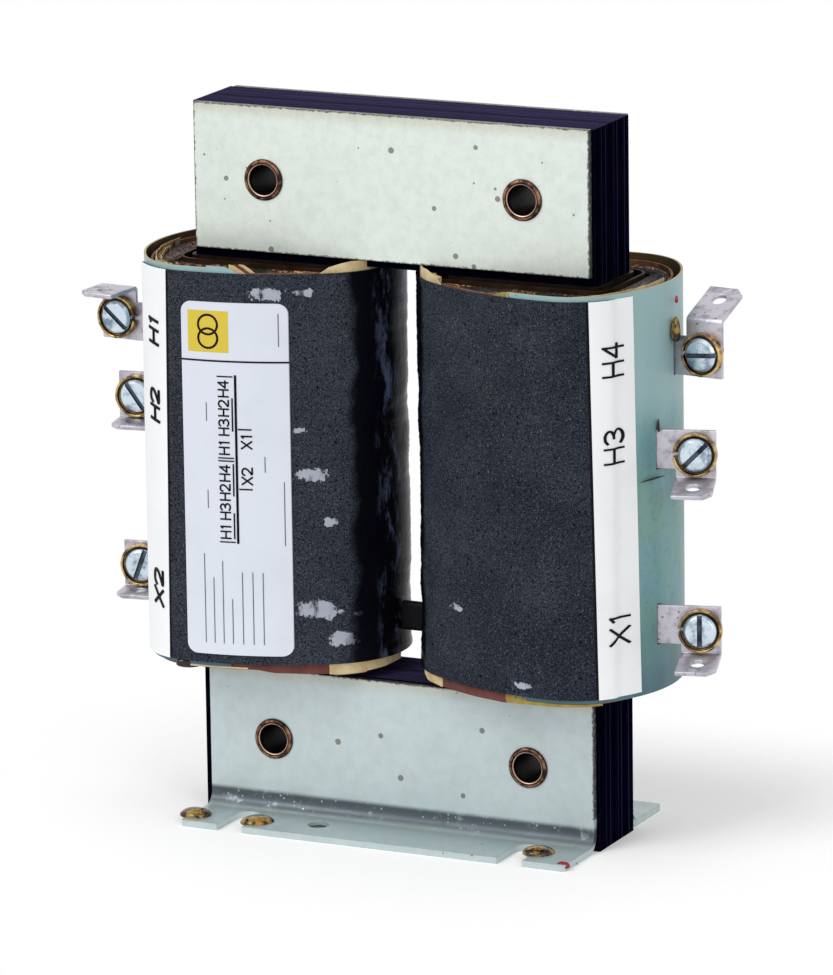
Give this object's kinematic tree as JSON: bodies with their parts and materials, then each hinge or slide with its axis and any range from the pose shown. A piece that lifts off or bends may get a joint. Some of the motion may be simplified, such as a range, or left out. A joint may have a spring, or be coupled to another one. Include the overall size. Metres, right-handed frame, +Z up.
{
  "type": "control transformer",
  "caption": "Open core-and-coil control transformer: laminated steel core on slotted feet, a taped coil on each leg, screw terminal tabs at both sides.",
  "frame": {"origin": "centre of the laminated core's underside, level with the undersides of the feet", "axes": "+X along the yokes towards the coil without the rating label, +Y from front to rear through the stack, +Z up along the legs"},
  "size_m": [0.1609, 0.0556, 0.1698],
  "materials": {
    "core_steel": "black varnish over sheared steel edges",
    "galvanised_plate": "galvanised, dull",
    "rivet_copper": "darkened copper",
    "former_board": "varnished board",
    "copper_winding": "varnished copper wire in layers",
    "barrier_paper": "varnished kraft paper",
    "kraft_paper": "varnished kraft paper",
    "filler_paper": "cream paper",
    "insulating_sheet": "green insulating sheet, slight sheen",
    "coil_tape": "varnished charcoal tape",
    "marker_paper": "white",
    "label_paper": "white printed",
    "sleeving": "black sleeve",
    "tinned_tab": "tinned, dull",
    "washer_brass": "brass",
    "screw_zinc": "zinc plated"
  },
  "bodies": {
    "root": {"left_leg_laminations": "core_steel", "right_leg_laminations": "core_steel", "upper_yoke_laminations": "core_steel", "lower_yoke_laminations": "core_steel", "front_clamp_plate": "galvanised_plate", "rear_clamp_plate": "galvanised_plate", "front_foot_bracket": "galvanised_plate", "rear_foot_bracket": "galvanised_plate", "lower_left_rivet": "rivet_copper", "lower_right_rivet": "rivet_copper", "upper_left_rivet": "rivet_copper", "upper_right_rivet": "rivet_copper", "left_coil_former": "former_board", "right_coil_former": "former_board", "left_inner_winding": "copper_winding", "left_outer_winding": "copper_winding", "right_inner_winding": "copper_winding", "right_outer_winding": "copper_winding", "left_barrier_paper": "barrier_paper", "right_barrier_paper": "barrier_paper", "left_kraft_wrap": "kraft_paper", "right_kraft_wrap": "kraft_paper", "left_upper_filler_paper": "filler_paper", "left_lower_filler_paper": "filler_paper", "right_upper_filler_paper": "filler_paper", "right_lower_filler_paper": "filler_paper", "left_insulating_sheet": "insulating_sheet", "right_insulating_sheet": "insulating_sheet", "left_tape_wrap": "coil_tape", "right_tape_wrap": "coil_tape", "left_marker_strip": "marker_paper", "right_marker_strip": "marker_paper", "rating_label": "label_paper", "crossover_lead": "sleeving", "left_lead_end": "sleeving", "h1_terminal_tab": "tinned_tab", "h2_terminal_tab": "tinned_tab", "x2_terminal_tab": "tinned_tab", "h4_terminal_tab": "tinned_tab", "h3_terminal_tab": "tinned_tab", "x1_terminal_tab": "tinned_tab"},
    "h1_washer": {"h1_cup_washer": "washer_brass"},
    "h1_screw": {"h1_terminal_screw": "screw_zinc"},
    "h2_washer": {"h2_cup_washer": "washer_brass"},
    "h2_screw": {"h2_terminal_screw": "screw_zinc"},
    "x2_washer": {"x2_cup_washer": "washer_brass"},
    "x2_screw": {"x2_terminal_screw": "screw_zinc"},
    "h4_washer": {"h4_cup_washer": "washer_brass"},
    "h4_screw": {"h4_terminal_screw": "screw_zinc"},
    "h3_washer": {"h3_cup_washer": "washer_brass"},
    "h3_screw": {"h3_terminal_screw": "screw_zinc"},
    "x1_washer": {"x1_cup_washer": "washer_brass"},
    "x1_screw": {"x1_terminal_screw": "screw_zinc"}
  },
  "joints": [
    {"name": "h1_washer_slide", "type": "slide", "parent": "root", "child": "h1_washer", "axis": [-0.0698, -0.9976, 0], "range_m": [0, 0.00238]},
    {"name": "h1_screw_turn", "type": "hinge", "parent": "h1_washer", "child": "h1_screw", "pos_m": [-0.07494, -0.00232, 0.1154], "axis": [-0.0698, -0.9976, 0], "range_deg": [0, 1080]},
    {"name": "h2_washer_slide", "type": "slide", "parent": "root", "child": "h2_washer", "axis": [0.1392, -0.9903, 0], "range_m": [0, 0.00238]},
    {"name": "h2_screw_turn", "type": "hinge", "parent": "h2_washer", "child": "h2_screw", "pos_m": [-0.07338, 0.00283, 0.0954], "axis": [0.1392, -0.9903, 0], "range_deg": [0, 1080]},
    {"name": "x2_washer_slide", "type": "slide", "parent": "root", "child": "x2_washer", "axis": [0.1392, -0.9903, 0], "range_m": [0, 0.00238]},
    {"name": "x2_screw_turn", "type": "hinge", "parent": "x2_washer", "child": "x2_screw", "pos_m": [-0.07308, 0.00287, 0.0542], "axis": [0.1392, -0.9903, 0], "range_deg": [0, 1080]},
    {"name": "h4_washer_slide", "type": "slide", "parent": "root", "child": "h4_washer", "axis": [-0.1219, -0.9925, 0], "range_m": [0, 0.00238]},
    {"name": "h4_screw_turn", "type": "hinge", "parent": "h4_washer", "child": "h4_screw", "pos_m": [0.07307, 0.00124, 0.1176], "axis": [-0.1219, -0.9925, 0], "range_deg": [0, 1080]},
    {"name": "h3_washer_slide", "type": "slide", "parent": "root", "child": "h3_washer", "axis": [0.2756, -0.9613, 0], "range_m": [0, 0.00238]},
    {"name": "h3_screw_turn", "type": "hinge", "parent": "h3_washer", "child": "h3_screw", "pos_m": [0.07295, -0.00403, 0.0954], "axis": [0.2756, -0.9613, 0], "range_deg": [0, 1080]},
    {"name": "x1_washer_slide", "type": "slide", "parent": "root", "child": "x1_washer", "axis": [0.2419, -0.9703, 0], "range_m": [0, 0.00238]},
    {"name": "x1_screw_turn", "type": "hinge", "parent": "x1_washer", "child": "x1_screw", "pos_m": [0.0741, -0.00405, 0.0542], "axis": [0.2419, -0.9703, 0], "range_deg": [0, 1080]}
  ],
  "couplings": [
    {"joint": "h1_screw_turn", "follows": "h1_washer_slide", "rad_per_m": 7915.8},
    {"joint": "h2_screw_turn", "follows": "h2_washer_slide", "rad_per_m": 7915.8},
    {"joint": "x2_screw_turn", "follows": "x2_washer_slide", "rad_per_m": 7915.8},
    {"joint": "h4_screw_turn", "follows": "h4_washer_slide", "rad_per_m": 7915.8},
    {"joint": "h3_screw_turn", "follows": "h3_washer_slide", "rad_per_m": 7915.8},
    {"joint": "x1_screw_turn", "follows": "x1_washer_slide", "rad_per_m": 7915.8}
  ]
}
